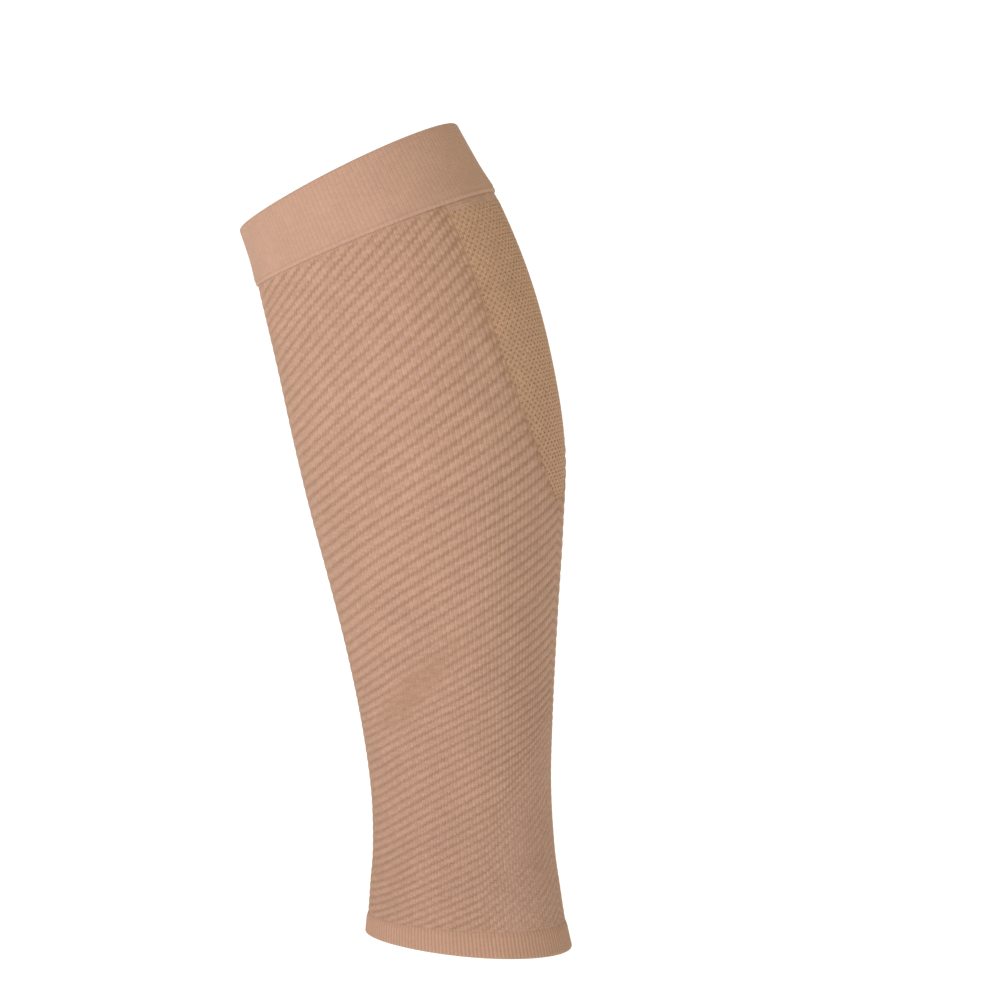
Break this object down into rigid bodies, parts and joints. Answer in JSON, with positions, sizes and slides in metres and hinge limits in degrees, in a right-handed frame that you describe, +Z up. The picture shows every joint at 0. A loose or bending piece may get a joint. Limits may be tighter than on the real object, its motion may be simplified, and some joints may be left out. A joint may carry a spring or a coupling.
{
  "type": "calf compression sleeve",
  "caption": "Seamless knitted tube sleeve for the lower leg, with slanting ribs, an open-knit panel at the back of the calf, a doubled cuff under the knee and a folded ankle hem.",
  "frame": {"origin": "middle of the leg hollow at the fullest part of the calf, which is the mount leg_seat", "axes": "+Z up along the leg to the knee, -Y to the shin, +Y to the back of the calf, +X to the outer side of a left leg"},
  "size_m": [0.1086, 0.128, 0.3659],
  "materials": {
    "cuff_knit": "doubled fine rib knit of matt polyamide and elastane",
    "body_knit": "slanting rib knit of matt polyamide and elastane",
    "mesh_knit": "open-hole knit of matt polyamide and elastane",
    "hem_knit": "folded fine rib knit of matt polyamide and elastane"
  },
  "bodies": {
    "root": {"top_cuff": "cuff_knit", "leg_body": "body_knit", "calf_mesh": "mesh_knit", "ankle_hem": "hem_knit"}
  },
  "joints": []
}
